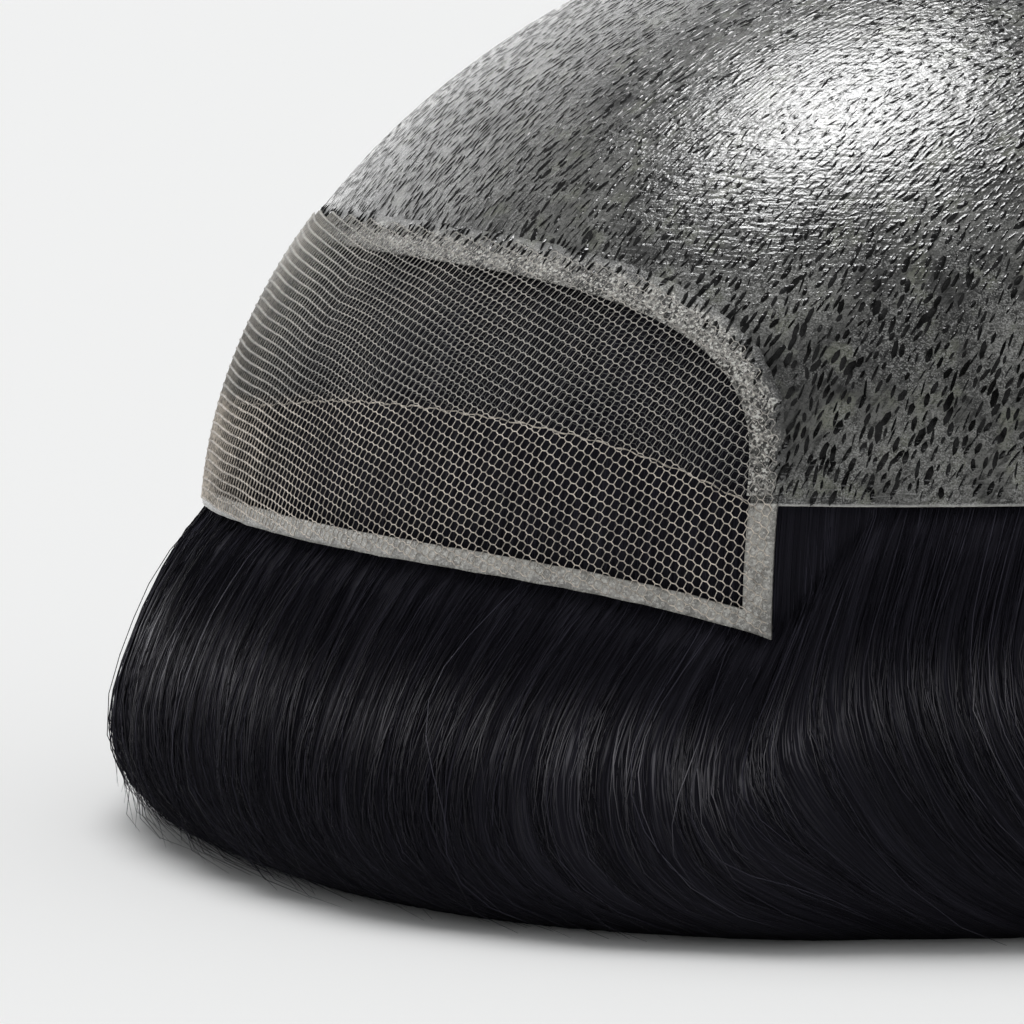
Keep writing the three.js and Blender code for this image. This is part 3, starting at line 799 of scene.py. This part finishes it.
class TOUPEE_OT_roots(bpy.types.Operator):
    """Set the hair's roots in the skin, as short dark dashes along the combing"""
    bl_idname = "toupee.roots"
    bl_label = "Hair roots"

    def execute(self, context):
        dome = Dome(context.scene)
        random = np.random.default_rng(dome.hair.seed)
        tries = 260000
        tilt = np.arcsin(random.uniform(np.sin(9 * DEGREE), 1, tries))
        angle = random.uniform(-np.pi, np.pi, tries)
        points = dome.point(angle, tilt, SKIN_LIFT)
        level = points[:, 2]
        window = np.abs(angle) < dome.window_half + 1.2 * MM / dome.plan_radius(angle)
        cut_out = window & (level < dome.arch_level(angle, 1.3 * MM))
        kept = (level > dome.base.skin_edge + 0.9 * MM) & ~cut_out
        points, angle, tilt = points[kept], angle[kept], tilt[kept]
        normals = dome.normal(angle, tilt)
        flow = combing(points, normals)
        crowd = fractal(points, 160.0, 2)
        chance = random.uniform(0, 1, len(points)) < np.clip(0.65 + 0.9 * crowd, 0.2, 1)
        points, angle, normals, flow = points[chance], angle[chance], normals[chance], flow[chance]
        chosen = spaced(points, flow, 1.42 * MM, 0.57 * MM)
        points, angle, normals, flow = points[chosen], angle[chosen], normals[chosen], flow[chosen]
        count = len(points)
        swing = random.normal(0, 0.15, count)[:, None]
        side = np.cross(normals, flow)
        flow = unit(flow + side * swing)
        share = random.uniform(0.7, 1.9, count)
        length = dome.base.root_length * share
        width = dome.base.root_width * np.sqrt(share) * random.uniform(0.5, 1.9, count)
        on_band = (np.abs(angle) < dome.window_half + 4 * MM / dome.plan_radius(angle)) & (
            points[:, 2] < dome.arch_level(angle, dome.net.margin_width))
        proud = np.where(on_band, 0.10 * MM, -0.01 * MM)
        size = np.stack([length, width, np.where(on_band, 0.18 * MM, 0.050 * MM)], -1)
        points = points + normals * proud[:, None]
        normals = unit(normals + side * random.normal(0, 0.07, count)[:, None]
                       + flow * random.normal(0, 0.03, count)[:, None])
        tree = root_tree()
        black = root_material()
        for name, half in (("skin_roots_right", points[:, 0] >= 0), ("skin_roots_left", points[:, 0] < 0)):
            seeds = plain_mesh(name, points[half], (), (), {
                "along": flow[half], "outward": normals[half], "size": size[half]})
            mesh = grown(name, seeds, tree, {"Sides": 6, "Finish": black})
            finished(name, mesh, [black], smooth=False)
        return {"FINISHED"}


def spaced(points, flow, along, across):
    """Takes points in turn and leaves out those too close to one already taken."""
    cells = {}
    taken = []
    for index, (point, way) in enumerate(zip(points.tolist(), flow.tolist())):
        key = tuple(int(math.floor(value / along)) for value in point)
        close = False
        for dx in (-1, 0, 1):
            for dy in (-1, 0, 1):
                for dz in (-1, 0, 1):
                    for other in cells.get((key[0] + dx, key[1] + dy, key[2] + dz), ()):
                        gap = (point[0] - other[0], point[1] - other[1], point[2] - other[2])
                        ahead = gap[0] * way[0] + gap[1] * way[1] + gap[2] * way[2]
                        total = gap[0] ** 2 + gap[1] ** 2 + gap[2] ** 2
                        if (ahead / along) ** 2 + max(total - ahead ** 2, 0) / across ** 2 < 1:
                            close = True
                            break
                    if close:
                        break
                if close:
                    break
            if close:
                break
        if not close:
            cells.setdefault(key, []).append(point)
            taken.append(index)
    return np.array(taken)


def angle_of(points):
    return np.arctan2(points[:, 0], BASE_SHIFT - points[:, 1])


def net_lines(dome, region, slant, start, lift, thickness):
    """Rows and links of a six-sided net laid on the dome: points, edges and thicknesses."""
    angles = np.linspace(-50, 50, 401) * DEGREE
    level = 45 * MM
    steps = np.linalg.norm(np.diff(dome.at_level(angles, np.full(401, level)), axis=0), axis=1)
    arc = np.concatenate([[0], np.cumsum(steps)])
    arc -= arc[200]
    slope = -(9 + 0.72 * angles / DEGREE + slant) * DEGREE
    run = np.concatenate([[0], np.cumsum(steps / np.cos((slope[1:] + slope[:-1]) / 2))])
    run -= run[200]
    climb = np.concatenate([[0], np.cumsum(steps * np.tan((slope[1:] + slope[:-1]) / 2))])
    climb -= climb[200]
    tilts = np.linspace(-12, 60, 361) * DEGREE
    rise_steps = np.hypot(90 * MM * np.sin(tilts), dome.base.rise * np.cos(tilts)) * 0.2 * DEGREE
    heights = np.concatenate([[0], np.cumsum(rise_steps[1:])])
    heights -= np.interp(float(dome.tilt_at(42 * MM)), tilts, heights)

    def on_dome(along_row, row):
        place_on_row = along_row * dome.net.cell_pitch
        across = np.interp(place_on_row, run, arc)
        drop = dome.net.row_drop * (0.93 + 0.0038 * np.abs(np.interp(place_on_row, run, angles)) / DEGREE)
        height = np.interp(place_on_row, run, climb) - (row + start) * drop
        tilt = np.interp(height, heights, tilts)
        widened = across / np.cos(tilt) ** 0.5
        angle = np.interp(widened, arc, angles)
        return angle, tilt

    def crossing(column, row, third):
        """Where threads meet; the corners lie flatter along the row than in an even six-sided cell."""
        side = 1 if third == 1 else -1
        angle, tilt = on_dome(column + third / 3 - 0.5 * flat * side, row + third / 3 + flat * side)
        spot = dome.point(angle, tilt)
        bend = np.array([noise.noise_vector(Vector(p) * 130.0) for p in spot.reshape(-1, 3)])
        shake = np.array([noise.noise_vector(Vector(p) * 1500.0) for p in spot.reshape(-1, 3)])
        moved = (0.22 * MM * bend + 0.045 * MM * shake).reshape(spot.shape)
        return angle + moved[..., 0] / 90e-3, tilt + moved[..., 1] / 75e-3

    columns = np.arange(-90, 91)
    flat = 0.085
    points, edges, thick = [], [], []

    def laid(angle, tilt, joined, wide):
        inside = region(angle, WIDEST_LEVEL + dome.base.rise * np.sin(tilt))
        place_of = dome.point(angle, tilt, lift)
        first = len(thick)
        points.extend(place_of.tolist())
        thick.extend([wide] * len(angle))
        for a, b in joined:
            if inside[a] and inside[b]:
                edges.append((first + a, first + b))

    for row in range(-60, 60):
        ones = crossing(columns, np.full(columns.shape, row), 1)
        twos = crossing(columns, np.full(columns.shape, row), 2)
        angle = np.stack([ones[0], twos[0]], -1).ravel()
        tilt = np.stack([ones[1], twos[1]], -1).ravel()
        laid(angle, tilt, [(k, k + 1) for k in range(len(angle) - 1)], thickness)
        below = crossing(columns, np.full(columns.shape, row - 1), 2)
        angle = np.stack([ones[0], below[0]], -1).ravel()
        tilt = np.stack([ones[1], below[1]], -1).ravel()
        laid(angle, tilt, [(k, k + 1) for k in range(0, len(angle), 2)], thickness * 0.72)
    points, edges, thick = np.array(points), np.array(edges), np.array(thick)
    used = np.zeros(len(points), bool)
    used[edges.ravel()] = True
    renumbered = np.cumsum(used) - 1
    points, thick = points[used], thick[used]
    angle = angle_of(points)
    # Painted shade: threads above the second layer's hem are greyed in their colour.
    shaded = np.clip((points[:, 2] - dome.underlay_edge(angle)) / (1.2 * MM), 0, 1)
    glued = np.clip((points[:, 2] - dome.arch_level(angle, 0.3 * MM)) / (0.8 * MM), 0, 1)
    thick = thick * (1 - 0.25 * glued) * (1 + 1.6 * np.clip((3 * DEGREE - angle) / (19 * DEGREE), 0, 1))
    return points, renumbered[edges], {"thickness": thick, "shaded": shaded}


class TOUPEE_OT_net(bpy.types.Operator):
    """Lay the net front and its second layer, thread by thread"""
    bl_idname = "toupee.net"
    bl_label = "Net"

    def execute(self, context):
        dome = Dome(context.scene)
        colours = context.scene.toupee_finish
        tree = thread_tree()

        def front(angle, level):
            below_skin = level <= dome.base.skin_edge
            beside = np.abs(angle) <= dome.net.half_angle - 0.25 * MM / dome.plan_radius(angle)
            over_edge = level >= dome.lace_edge(angle) + 0.2 * MM
            in_arch = level <= dome.arch_level(angle, 2.5 * MM)
            return over_edge & np.where(below_skin, beside, in_arch)

        def behind(angle, level):
            in_window = np.abs(angle) < dome.window_half + 0.5 * MM / dome.plan_radius(angle)
            below_arch = level <= dome.arch_level(angle, 0.5 * MM)
            return in_window & (level >= dome.underlay_edge(angle)) & below_arch

        pale = thread_material(colours, "net thread", 1.0, 0.0)
        points, edges, marks = net_lines(dome, front, 0, 0.0, NET_LIFT, dome.net.thread)
        seeds = plain_mesh("lace_net", points, (), edges, marks)
        mesh = grown("lace_net", seeds, tree, {"Sides": 3, "Thickness": 1.0, "Finish": pale})
        finished("lace_net", mesh, [pale], ["lace_front"])
        # Painted shade: the second net is a darker copy of the same thread, as it lies behind the first.
        dull = thread_material(colours, "second net thread", 0.13, 0.1)
        points, edges, marks = net_lines(dome, behind, 2.5, 0.4, UNDERLAY_LIFT, dome.net.thread * 0.42)
        seeds = plain_mesh("underlay_net", points, (), edges, marks)
        mesh = grown("underlay_net", seeds, tree, {"Sides": 3, "Thickness": 1.0, "Finish": dull})
        finished("underlay_net", mesh, [dull], ["lace_underlay"])
        share = np.linspace(-0.995, 0.995, 260)
        angle = share * dome.window_half
        wobble = 0.10 * MM * np.sin(share * 130) + 0.05 * MM * np.sin(share * 411)
        line = dome.at_level(angle, dome.underlay_edge(angle) + wobble, HEM_LIFT)
        wide = dome.net.thread * (0.95 + 0.65 * np.sin(share * 233) * np.sin(share * 71))
        seeds = plain_mesh("hem_thread", line, (), np.stack([np.arange(259), np.arange(1, 260)], -1),
                           {"thickness": wide})
        mesh = grown("hem_thread", seeds, tree, {"Sides": 6, "Thickness": 1.0, "Finish": pale})
        finished("hem_thread", mesh, [pale], ["underlay_hem"])
        return {"FINISHED"}


class TOUPEE_OT_coating(bpy.types.Operator):
    """Make the coated edge of the net and the glued band round its arch"""
    bl_idname = "toupee.coating"
    bl_label = "Coated edge and glued band"

    def execute(self, context):
        dome = Dome(context.scene)
        colours = context.scene.toupee_finish
        half, window = dome.net.half_angle, dome.window_half
        tab = np.linspace(window, half, 6)
        angles = np.concatenate([-tab[::-1], np.linspace(-window, window, 241)[1:-1], tab])
        columns = len(angles)
        wave = fractal(dome.at_level(angles, np.full(columns, 35 * MM)), 260.0, 3)
        low = dome.lace_edge(angles) + 0.09 * MM * wave
        high = dome.lace_edge(angles) + dome.net.border_width + 0.10 * MM * np.roll(wave, 17)
        in_tab = np.abs(angles) >= window - 1e-6
        rows_low, rows_high = 5, 12
        band = low + (high - low) * np.linspace(0, 1, rows_low)[:, None]
        upper = high + (dome.base.skin_edge + 0.2 * MM - high) * np.linspace(0, 1, rows_high)[1:, None]
        level = np.concatenate([band, upper])
        angle = np.broadcast_to(angles, level.shape)
        faces = []
        for row in range(len(level) - 1):
            for column in range(columns - 1):
                if row < rows_low - 1 or (in_tab[column] and in_tab[column + 1]):
                    first = row * columns + column
                    faces.append((first, first + 1, first + columns + 1, first + columns))
        outer = dome.at_level(angle, level, EDGE_LIFTS[1]).reshape(-1, 3)
        inner = dome.at_level(angle, level, EDGE_LIFTS[0]).reshape(-1, 3)
        outer, inner, faces = without_loose(outer, inner, faces)
        points, faces = walled(outer, inner, faces)
        mesh = plain_mesh("lace_edge", points, faces)
        milky = coating_material(colours, "milky coating", False)
        finished("lace_edge", mesh, [milky], ["lace_border"])
        turn = np.linspace(-89.5, 89.5, 220) * DEGREE
        power = 2 / 3
        rows = 6
        grown_by = np.linspace(-0.1, 1, rows)[:, None] * dome.net.margin_width
        sine, cosine = np.sign(turn) * np.abs(np.sin(turn)) ** power, np.cos(turn) ** power
        rough = fractal(np.stack([np.cos(turn), np.sin(turn), 0 * turn], -1), 14.0, 4)
        grown_by = grown_by + np.linspace(0, 1, rows)[:, None] * 0.22 * MM * rough
        angle = (window + grown_by / dome.plan_radius(window)) * sine
        level = dome.base.skin_edge + (dome.net.arch_rise + grown_by) * cosine
        lift = 0.50 * MM - 0.27 * MM * np.linspace(0, 1, rows)[:, None] + 0 * angle
        outer = dome.at_level(angle, level, lift).reshape(-1, 3)
        inner = dome.at_level(angle, level, 0.1 * MM).reshape(-1, 3)
        points, faces = walled(outer, inner, grid_faces(rows, len(turn)))
        across = np.broadcast_to(np.linspace(0, 1, rows)[:, None], angle.shape).ravel()
        mesh = plain_mesh("glued_band", points, faces, (), {
            "across": np.concatenate([across, across])})
        glue = coating_material(colours, "glued band", True)
        finished("glued_band", mesh, [glue], ["lace_margin"])
        return {"FINISHED"}


def without_loose(outer, inner, faces):
    """Drops the points that no face uses."""
    faces = np.array(faces)
    used = np.zeros(len(outer), bool)
    used[faces.ravel()] = True
    renumbered = np.cumsum(used) - 1
    return outer[used], inner[used], [tuple(face) for face in renumbered[faces].tolist()]


class TOUPEE_OT_hair_bed(bpy.types.Operator):
    """Make the bed of combed hair: the roll round the rim and the lining under the dome"""
    bl_idname = "toupee.hair_bed"
    bl_label = "Hair bed"

    def execute(self, context):
        dome = Dome(context.scene)
        colours = context.scene.toupee_finish
        columns = 720
        start = np.linspace(-np.pi, np.pi, columns + 1)[:-1]
        outside = dome.outside[np.linspace(0, len(dome.outside) - 1, 62).astype(int)]
        inside = dome.inside[np.linspace(0, len(dome.inside) - 1, 22).astype(int)][1:]
        section = np.concatenate([outside, inside])
        out = np.repeat(section[:, 0], columns)
        up = np.repeat(section[:, 1], columns)
        root = np.tile(start, len(section))
        angle = dome.combed(root, up)
        points = dome.roll_point(angle, out, up)
        girth = np.repeat(np.concatenate([[0], np.cumsum(np.linalg.norm(np.diff(
            section * np.array([11.8, 38.0]) * MM, axis=0), axis=1))]), columns)
        outer_rows = len(outside) * columns
        ridge = np.array([noise.noise((r * 95.0, g * 60.0, 3.1)) for r, g in zip(root[:outer_rows],
                                                                               girth[:outer_rows])])
        rib = np.zeros(len(points))
        rib[:outer_rows] = 0.35 * MM * ridge * np.clip(1.4 - up[:outer_rows], 0, 1)
        away = unit(np.stack([np.sin(angle), -np.cos(angle), 0 * angle], -1))
        points = points + away * rib[:, None]
        points[:, 2] = np.maximum(points[:, 2], 0)
        rows = len(section)
        faces = grid_faces(rows, columns, True)[:, ::-1]
        last = (rows - 1) * columns
        close = [(k, (k + 1) % columns, last + (k + 1) % columns, last + k) for k in range(columns)]
        faces = [tuple(face) for face in faces.tolist()] + close
        strand = np.stack([root * 0.09, girth, 0 * root], -1)
        mesh = plain_mesh("hair_bed", points, faces, (), {"strand": strand, "band": sheen_band(points)})
        combed = hair_material(colours, "combed hair", True)
        finished("hair_bed", mesh, [combed], ["hair_front", "hair_right", "hair_back", "hair_left"])
        columns, rows = 240, 26
        angles = np.linspace(-np.pi, np.pi, columns + 1)[:-1]
        tilt = np.linspace(float(dome.tilt_at(48.6 * MM)), np.pi / 2, rows)[:-1]
        angle = np.broadcast_to(angles, (rows - 1, columns))
        tilt = np.repeat(tilt, columns).reshape(-1, columns)
        top = np.full(1, np.pi / 2)
        outer = np.concatenate([dome.point(angle, tilt, HAIR_LIFT).reshape(-1, 3),
                                dome.point(np.zeros(1), top, HAIR_LIFT)])
        inner = np.concatenate([dome.point(angle, tilt, LINING_LIFT).reshape(-1, 3),
                                dome.point(np.zeros(1), top, LINING_LIFT)])
        faces = [tuple(face) for face in grid_faces(rows - 1, columns, True).tolist()]
        first = (rows - 2) * columns
        faces += [(first + k, first + (k + 1) % columns, len(outer) - 1) for k in range(columns)]
        points, faces = walled(outer, inner, faces)
        around = np.concatenate([angle.ravel() * 0.09, [0], angle.ravel() * 0.09, [0]])
        along = np.concatenate([tilt.ravel() * 0.08, [0.12], tilt.ravel() * 0.08, [0.12]])
        strand = np.stack([around, along, 0 * along], -1)
        mesh = plain_mesh("hair_lining", points, faces, (), {"strand": strand})
        finished("hair_lining", mesh, [combed], ["hair_crown"])
        return {"FINISHED"}


def section_at(dome, along):
    """Out and up of the roll's outline at shares of its length."""
    grid = along * (len(dome.outside) - 1)
    low = np.clip(grid.astype(int), 0, len(dome.outside) - 2)
    part = (grid - low)[..., None]
    section = dome.outside[low] * (1 - part) + dome.outside[low + 1] * part
    return section[..., 0].ravel(), section[..., 1].ravel()


def strand_lines(dome, angle, along, height, flare):
    """Strands over the roll from angles, shares of the outline and heights, one row a strand."""
    count, steps = along.shape
    out, up = section_at(dome, along)
    clear = np.clip((1.04 - up) / 0.25, 0, 1)
    points = dome.roll_point(angle.ravel(), out + flare.ravel(), up, height.ravel() * clear)
    points[:, 2] = np.maximum(points[:, 2], 0.1 * MM)
    numbers = np.arange(count * steps).reshape(count, steps)
    return points, np.stack([numbers[:, :-1].ravel(), numbers[:, 1:].ravel()], -1)


def combed_strands(dome, random, roots, first, last, height, wander, flare):
    """Strands that follow the combing and gather in clumps towards their tips."""
    count = len(roots)
    share = np.linspace(0, 1, STRAND_POINTS)[None, :]
    width = 2.1 * DEGREE
    nearest = np.round(roots / width + 0.3 * np.sin(roots * 41)) * width
    drawn = (nearest - roots)[:, None] * 0.75 * np.clip(share * 1.3 - 0.15, 0, 1)
    along = first[:, None] + (last - first)[:, None] * share
    up = section_at(dome, along)[1]
    turn = random.uniform(0, 2 * np.pi, (count, 1))
    pace = random.uniform(0.8, 2.6, (count, 1))
    sway = np.sin(turn + pace * share * np.pi) + random.normal(0, 0.6, (count, 1))
    swing = wander[:, None] * sway * share
    angle = dome.combed((roots[:, None] + drawn).ravel(), up).reshape(count, -1) + swing / 90e-3
    lift = height[:, None] * np.minimum(1, 0.25 + 2.2 * share)
    low = np.clip((0.16 - up.reshape(count, -1)) / 0.12, 0, 1)
    return strand_lines(dome, angle, along, lift, flare[:, None] * low)


class TOUPEE_OT_strands(bpy.types.Operator):
    """Comb single strands over the roll"""
    bl_idname = "toupee.strands"
    bl_label = "Strands"

    def execute(self, context):
        dome = Dome(context.scene)
        colours = context.scene.toupee_finish
        random = np.random.default_rng(dome.hair.seed + 1)
        tree = thread_tree()
        single = hair_material(colours, "single hairs", False)
        quarters = {"strands_front": (-45, 45), "strands_right": (45, 135), "strands_back": (135, 225),
                    "strands_left": (225, 315)}
        for name, (low, high) in quarters.items():
            count = dome.hair.strands // 4
            if name in ("strands_front", "strands_right"):
                count = int(count * 1.25)
            roots = random.uniform(low, high, count) * DEGREE
            clump = np.array([noise.noise((root * 22.0, 0.0, 9.0)) for root in roots])
            first = random.uniform(0.30, 0.40, count)
            kind = random.uniform(0, 1, count)
            first = np.where(kind < 0.2, random.uniform(0.44, 0.62, count), first)
            first = np.where(kind > 0.85, 0.04, first)
            last = random.uniform(0.82, 1.0, count)
            height = (0.2 + 0.7 * random.uniform(0, 1, count) ** 1.5 + 0.3 * clump) * MM
            wander = np.full(count, 1.0 * MM)
            stray = random.uniform(0, 1, count) < 0.03
            wander = np.where(stray, 2.6 * MM, wander)
            height = np.where(stray, random.uniform(0.6, 1.5, count) * MM, np.maximum(height, 0.1 * MM))
            flare = random.uniform(0, 1, count) ** 6 * 0.5
            points, edges = combed_strands(dome, random, roots, first, last, height, wander, flare)
            taper = np.clip((1 - np.linspace(0, 1, STRAND_POINTS)) * 5 + 0.25, 0, 1)
            wide = (dome.hair.strand * random.uniform(0.55, 1.15, (count, 1)) * taper).ravel()
            shade = np.repeat(random.uniform(0, 1, count) ** 4, STRAND_POINTS)
            shine = np.repeat(random.uniform(0, 1, count) ** 2, STRAND_POINTS)
            seeds = plain_mesh(name, points, (), edges, {
                "thickness": wide, "shade": shade, "shine": shine, "band": sheen_band(points)})
            mesh = grown(name, seeds, tree, {"Sides": 3, "Thickness": 1.0, "Finish": single})
            finished(name, mesh, [single])
        return {"FINISHED"}


class TOUPEE_OT_stage(bpy.types.Operator):
    """Set the pale floor, the soft lights and the camera"""
    bl_idname = "toupee.stage"
    bl_label = "Floor, lights and camera"

    def execute(self, context):
        scene = context.scene
        floor_points = np.array([[-12, -12, 0], [12, -12, 0], [12, 12, 0], [-12, 12, 0]], float)
        mesh = plain_mesh("floor", floor_points, [(0, 1, 2, 3)])
        floor = bpy.data.objects.new("floor", mesh)
        scene.collection.objects.link(floor)
        material, _, shader = surface("pale floor")
        shader.inputs["Base Color"].default_value = tuple(scene.toupee_finish.floor)
        shader.inputs["Roughness"].default_value = 0.8
        shader.inputs["Specular IOR Level"].default_value = 0.0
        mesh.materials.append(material)

        world = bpy.data.worlds.new("studio")
        world.use_nodes = True
        world.node_tree.nodes["Background"].inputs["Color"].default_value = (0.99, 1, 1, 1)
        world.node_tree.nodes["Background"].inputs["Strength"].default_value = 0.5
        world.cycles_visibility.glossy = False
        scene.world = world

        def facing(towards):
            back = Vector(towards).normalized()
            return back.to_track_quat("Z", "Y").to_matrix().to_4x4()

        for name, width in (("softbox reflection", 28), ("overhead softbox", 48)):
            key = bpy.data.lights.new(name, "SUN")
            key.energy = 1.62
            key.angle = width * DEGREE
            lamp = bpy.data.objects.new(name, key)
            scene.collection.objects.link(lamp)
            lamp.visible_diffuse = name == "overhead softbox"
            lamp.visible_glossy = name == "softbox reflection"
            lamp.matrix_world = facing((-0.174, -0.069, 0.982))

        def card(name, width, height, energy, spot, towards):
            light = bpy.data.lights.new(name, "AREA")
            light.shape = "RECTANGLE"
            light.size, light.size_y = width, height
            light.energy = energy
            lamp = bpy.data.objects.new(name, light)
            scene.collection.objects.link(lamp)
            lamp.visible_diffuse = False
            lamp.matrix_world = Matrix.Translation(spot) @ facing(towards)
            return lamp

        card("front card", 0.9, 0.22, 4.0, (-0.72, -0.76, 0.37), (-0.72, -0.76, 0.345))
        glow = card("backdrop glow", 4.0, 1.8, 28.0, (-2.4, 1.0, 0.9), (-0.92, 0.38, 0.25))
        glow.visible_camera = False

        az, el = 64.0 * DEGREE, 6.945 * DEGREE
        distance = 671.56 * MM
        pixels_to_mm = 9.074
        back = Vector((math.sin(az) * math.cos(el), -math.cos(az) * math.cos(el), math.sin(el)))
        right = Vector((math.cos(az), math.sin(az), 0))
        up = back.cross(right)
        spot = back * distance + right * -0.06646 + up * 0.03123 + Vector((0, BASE_SHIFT, 0))
        lens = bpy.data.cameras.new("camera")
        lens.sensor_width = 36
        lens.lens = lens.sensor_width * pixels_to_mm * distance / MM / 1024
        lens.clip_end = 50
        camera = bpy.data.objects.new("camera", lens)
        scene.collection.objects.link(camera)
        turned = Matrix((right, up, back)).transposed().to_4x4()
        camera.matrix_world = Matrix.Translation(spot) @ turned
        scene.camera = camera
        scene.view_settings.view_transform = "Standard"
        return {"FINISHED"}


class TOUPEE_PT_panel(bpy.types.Panel):
    """Lists the toupee's pieces, sizes and colours"""
    bl_label = "Toupee"
    bl_space_type = "VIEW_3D"
    bl_region_type = "UI"
    bl_category = "Toupee"

    def draw(self, context):
        for operator in OPERATORS:
            self.layout.operator(operator.bl_idname)
        for group in (context.scene.toupee_base, context.scene.toupee_net, context.scene.toupee_hair,
                      context.scene.toupee_finish):
            for key in group.__annotations__:
                self.layout.prop(group, key)


OPERATORS = (TOUPEE_OT_stage, TOUPEE_OT_hair_bed, TOUPEE_OT_strands, TOUPEE_OT_net, TOUPEE_OT_coating,
             TOUPEE_OT_skin, TOUPEE_OT_roots)
CLASSES = (BaseSizes, NetSizes, HairSizes, Finishes) + OPERATORS + (TOUPEE_PT_panel,)


def register():
    for made in CLASSES:
        bpy.utils.register_class(made)
    bpy.types.Scene.toupee_base = PointerProperty(type=BaseSizes)
    bpy.types.Scene.toupee_net = PointerProperty(type=NetSizes)
    bpy.types.Scene.toupee_hair = PointerProperty(type=HairSizes)
    bpy.types.Scene.toupee_finish = PointerProperty(type=Finishes)


def unregister():
    for key in ("toupee_base", "toupee_net", "toupee_hair", "toupee_finish"):
        delattr(bpy.types.Scene, key)
    for made in reversed(CLASSES):
        bpy.utils.unregister_class(made)


def main():
    register()
    bpy.ops.toupee.stage()
    bpy.ops.toupee.hair_bed()
    bpy.ops.toupee.strands()
    bpy.ops.toupee.net()
    bpy.ops.toupee.coating()
    bpy.ops.toupee.skin()
    bpy.ops.toupee.roots()


if __name__ == "__main__":
    main()
